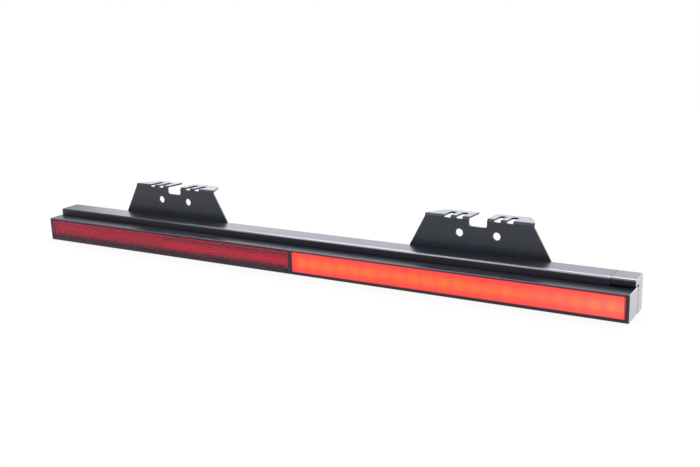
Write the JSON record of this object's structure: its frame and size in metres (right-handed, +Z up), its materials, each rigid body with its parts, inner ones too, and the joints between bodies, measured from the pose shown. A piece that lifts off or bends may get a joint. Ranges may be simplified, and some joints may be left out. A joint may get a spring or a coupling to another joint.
{
  "type": "marker light",
  "caption": "Long rectangular marker light with a red lit window beside a red reflector, on a stepped black rail with two folded, slotted sheet brackets for bolting to a carrier.",
  "frame": {"origin": "middle of the bar's flat underside, on the ground", "axes": "+X along the bar, from the reflector half to the lit half; +Y from the lit front to the brackets at the back; +Z up"},
  "size_m": [0.75, 0.0775, 0.0742],
  "materials": {
    "housing": "black moulded plastic with a fine satin grain",
    "lens": "clear red moulding, polished, lit from behind",
    "seal": "grey-black sealant bead",
    "diffuser": "opal white sheet",
    "tray": "bright white moulding",
    "board": "white lacquered board",
    "diodes": "white chip with a clear window",
    "components": "black moulded components",
    "contacts": "tinned pins",
    "board_screws": "zinc-plated, satin",
    "rubber": "black rubber",
    "reflector": "clear dark red moulding over a field of prisms",
    "backing": "dark red sealed plate",
    "tape": "black foam tape",
    "rail": "black finish with a satin sheen",
    "end_caps": "black moulded plastic, satin",
    "lamp_screws": "zinc-plated, satin",
    "bracket": "black powder coat over folded sheet steel",
    "rivets": "plated blind rivets, satin"
  },
  "bodies": {
    "root": {"lamp_housing": "housing", "lamp_lens": "lens", "lens_seal": "seal", "diffuser_sheet": "diffuser", "light_tray": "tray", "circuit_board": "board", "leds": "diodes", "resistors": "components", "regulators": "components", "protection_diode": "components", "wire_terminals": "contacts", "board_screws": "board_screws", "inlet_bush": "rubber", "cable_grommet": "rubber", "reflex_reflector": "reflector", "reflector_backing": "backing", "reflector_tape": "tape", "carrier_profile": "rail", "end_cap_right": "end_caps", "end_plate_left": "end_caps", "carrier_tape": "tape", "lamp_screws": "lamp_screws", "bracket_left": "bracket", "bracket_right": "bracket", "bracket_rivets_left": "rivets", "bracket_rivets_right": "rivets"}
  },
  "joints": []
}
